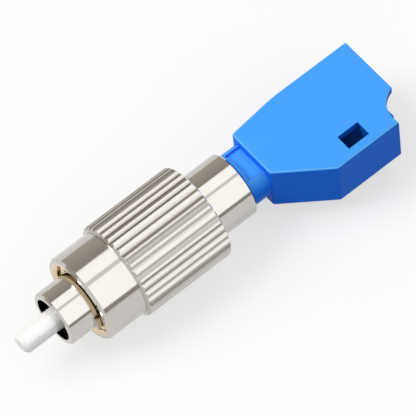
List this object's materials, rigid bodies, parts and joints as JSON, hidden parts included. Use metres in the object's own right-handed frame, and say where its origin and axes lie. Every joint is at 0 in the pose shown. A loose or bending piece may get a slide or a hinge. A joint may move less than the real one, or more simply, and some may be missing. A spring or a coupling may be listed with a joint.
{
  "type": "hybrid fibre adapter",
  "caption": "Hybrid fibre adapter: a nickel-plated screw-on plug with a knurled nut and a sprung ceramic ferrule, joined in line to a moulded blue latch socket.",
  "frame": {"origin": "on the optical axis, at the front face of the plug's key sleeve", "axes": "+X along the optical axis to the tip of the plug's ferrule, +Y to the latch side of the socket, +Z out of one of the socket's flat faces"},
  "size_m": [0.0463, 0.0128, 0.011],
  "materials": {
    "blue_moulding": "satin moulded",
    "nickel_plate": "bright nickel plate on turned brass",
    "stainless": "turned",
    "spring_steel": "drawn",
    "zirconia": "ground and polished",
    "fibre_glass": "polished ends"
  },
  "bodies": {
    "socket": {"lc_housing": "blue_moulding", "split_sleeve": "zirconia", "sleeve_retainer": "nickel_plate", "rear_tube": "nickel_plate", "key_sleeve": "nickel_plate", "ferrule_spring": "spring_steel"},
    "nut_ring": {"nut_retaining_ring": "spring_steel"},
    "nut": {"coupling_nut": "nickel_plate"},
    "ferrules": {"ferrule_holder": "stainless", "fc_ferrule": "zirconia", "lc_ferrule": "zirconia", "fibre": "fibre_glass"}
  },
  "joints": [
    {"name": "nut_slide", "type": "slide", "parent": "socket", "child": "nut_ring", "axis": [1, 0, 0], "range_m": [0, 0.0023]},
    {"name": "nut_spin", "type": "hinge", "parent": "nut_ring", "child": "nut", "pos_m": [-0.0128, 0, 0], "axis": [1, 0, 0], "continuous": true},
    {"name": "ferrule_float", "type": "slide", "parent": "socket", "child": "ferrules", "axis": [1, 0, 0], "range_m": [-0.0008, 0], "stiffness_N_per_m": 1000, "deforming": ["ferrule_spring"]}
  ]
}
